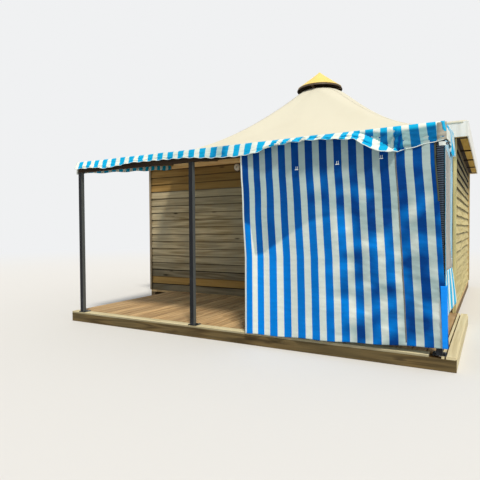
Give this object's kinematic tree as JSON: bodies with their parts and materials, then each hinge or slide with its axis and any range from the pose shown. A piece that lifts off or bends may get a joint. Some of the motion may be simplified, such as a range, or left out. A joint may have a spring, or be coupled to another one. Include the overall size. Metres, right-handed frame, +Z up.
{
  "type": "timber chalet with a canvas roof",
  "caption": "Square timber cabin with a swept canvas roof and vent cap, and an open deck under a lean-to awning with striped curtains.",
  "frame": {"origin": "on the ground, at the middle of the whole building's plan", "axes": "+Z up, +Y from the terrace to the back of the cabin, +X to the right seen from the terrace"},
  "size_m": [6.09, 7.3666, 4.851],
  "materials": {
    "wall_timber": "weathered lap boards, grey-brown",
    "trim_timber": "dark stained boards",
    "base_timber": "weathered dark brown",
    "floor_timber": "plain boards",
    "deck_timber": "weathered deck boards",
    "soffit_ply": "golden plywood",
    "roof_timber": "sawn softwood",
    "white_fascia": "white, slightly dirty",
    "roof_canvas": "coated cream canvas",
    "crown_steel": "grey steel",
    "cap_brown": "dark brown, matt",
    "cap_yellow": "yellow coated cloth",
    "post_steel": "anthracite paint on square tube",
    "striped_cloth": "blue and white block stripes",
    "clear_window": "clear flexible sheet",
    "lamp_shell": "round opal lamp"
  },
  "bodies": {
    "root": {"front_wall_left": "wall_timber", "front_wall_right": "wall_timber", "front_wall_lintel": "wall_timber", "back_wall": "wall_timber", "left_wall": "wall_timber", "right_wall": "wall_timber", "corner_trims": "trim_timber", "wall_plate": "trim_timber", "soffit_battens": "trim_timber", "door_frame": "trim_timber", "cabin_bearers": "base_timber", "terrace_joists": "base_timber", "terrace_front_fascia": "base_timber", "terrace_left_fascia": "base_timber", "terrace_right_fascia": "base_timber", "cabin_floor": "floor_timber", "terrace_deck": "deck_timber", "eaves_soffit": "soffit_ply", "eaves_rim": "roof_timber", "hip_rafters": "roof_timber", "side_rafters": "roof_timber", "awning_rafters": "roof_timber", "awning_ledger": "roof_timber", "front_beam": "roof_timber", "eaves_fascia": "white_fascia", "roof_canvas_front": "roof_canvas", "roof_canvas_back": "roof_canvas", "roof_canvas_left": "roof_canvas", "roof_canvas_right": "roof_canvas", "crown_ring": "crown_steel", "crown_arms": "crown_steel", "cap_rim": "cap_brown", "cap_cone": "cap_yellow", "post_left": "post_steel", "post_middle": "post_steel", "post_right": "post_steel", "awning_canopy": "striped_cloth", "front_valance": "striped_cloth", "left_valance": "striped_cloth", "right_valance": "striped_cloth", "front_curtain": "striped_cloth", "side_curtain": "striped_cloth", "side_window": "clear_window", "wall_lamp": "lamp_shell"}
  },
  "joints": []
}
